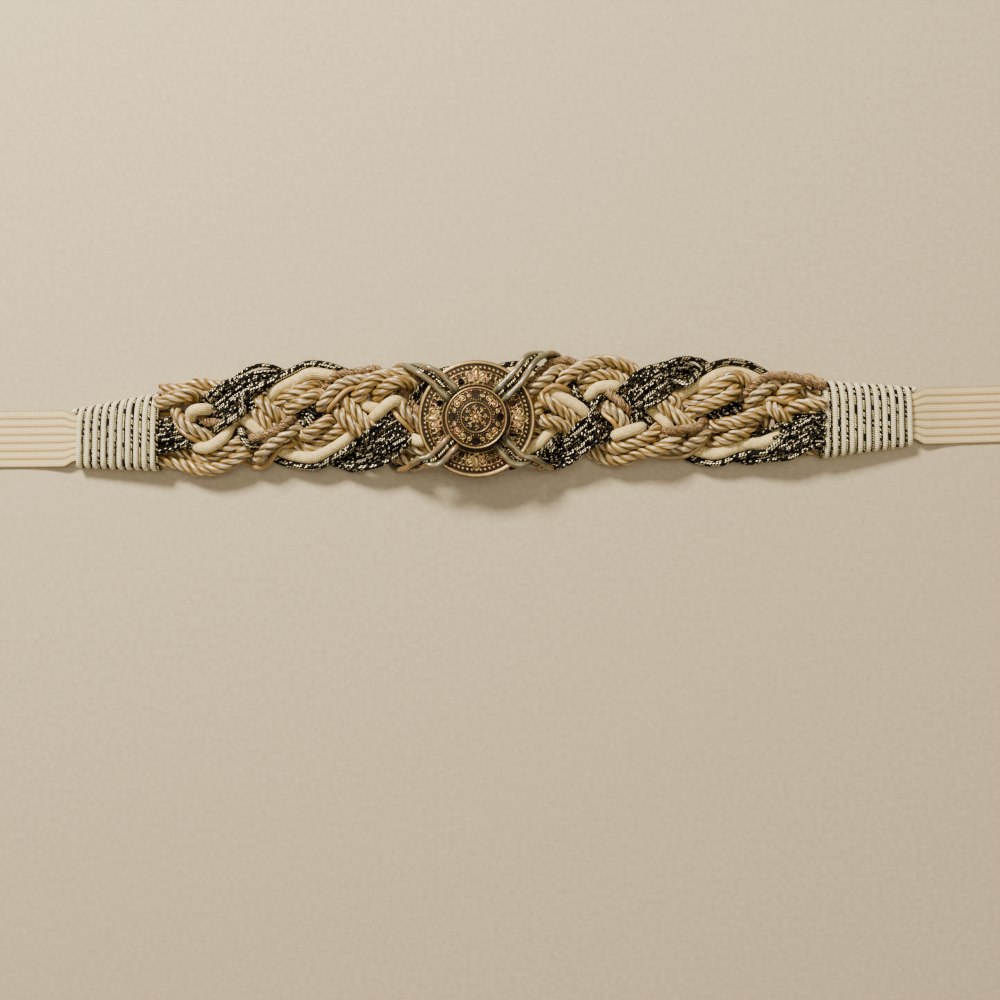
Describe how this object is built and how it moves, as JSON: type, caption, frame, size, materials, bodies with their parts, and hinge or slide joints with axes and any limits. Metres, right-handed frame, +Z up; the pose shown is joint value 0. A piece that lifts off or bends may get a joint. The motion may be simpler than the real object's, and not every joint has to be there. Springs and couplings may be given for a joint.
{
  "type": "plaited rope belt",
  "caption": "Rope belt: a flat plait of decorative cords with a round pierced medallion, wound ends and elastic straps that close with a hook and an eye.",
  "frame": {"origin": "under the middle of the medallion, on the surface that the belt lies on", "axes": "+X along the belt towards the eye, +Y across the belt, +Z up, out of the medallion's face"},
  "size_m": [0.7268, 0.0587, 0.0249],
  "materials": {
    "satin": "lustrous twisted rayon rope, straw gold",
    "tubular": "fine tubular braid, pale gold",
    "lurex": "black cord with gold metallic thread",
    "copper": "tinsel twist, rose copper",
    "cream": "matt cream cord",
    "gold": "smooth satin cord, old gold",
    "lash": "smooth satin rat-tail cord, silver taupe",
    "elastic": "ribbed woven elastic, beige",
    "brass": "antiqued cast brass, dark in the recesses",
    "steel": "plain bent wire"
  },
  "bodies": {
    "root": {"left_strap": "elastic", "right_strap": "elastic", "left_hook": "steel", "right_eye": "steel", "left_binding_cream": "cream", "left_binding_lurex": "lurex", "right_binding_cream": "cream", "right_binding_lurex": "lurex", "tan_group_satin_cord_1": "satin", "tan_group_satin_cord_2": "satin", "tan_group_tubular_cord": "tubular", "tan_group_lurex_cord": "lurex", "straw_group_satin_cord_1": "satin", "straw_group_satin_cord_2": "satin", "straw_group_tubular_cord": "tubular", "straw_group_lurex_cord": "lurex", "copper_group_copper_twist": "copper", "copper_group_cream_twist": "cream", "copper_group_gold_cord": "gold", "black_bundle": "lurex", "lashing_left_inner_satin": "lash", "lashing_left_lurex": "lurex", "lashing_left_outer_satin": "lash", "lashing_right_inner_satin": "lash", "lashing_right_lurex": "lurex", "lashing_right_outer_satin": "lash", "medallion_disc": "brass", "medallion_boss": "brass"}
  },
  "joints": []
}
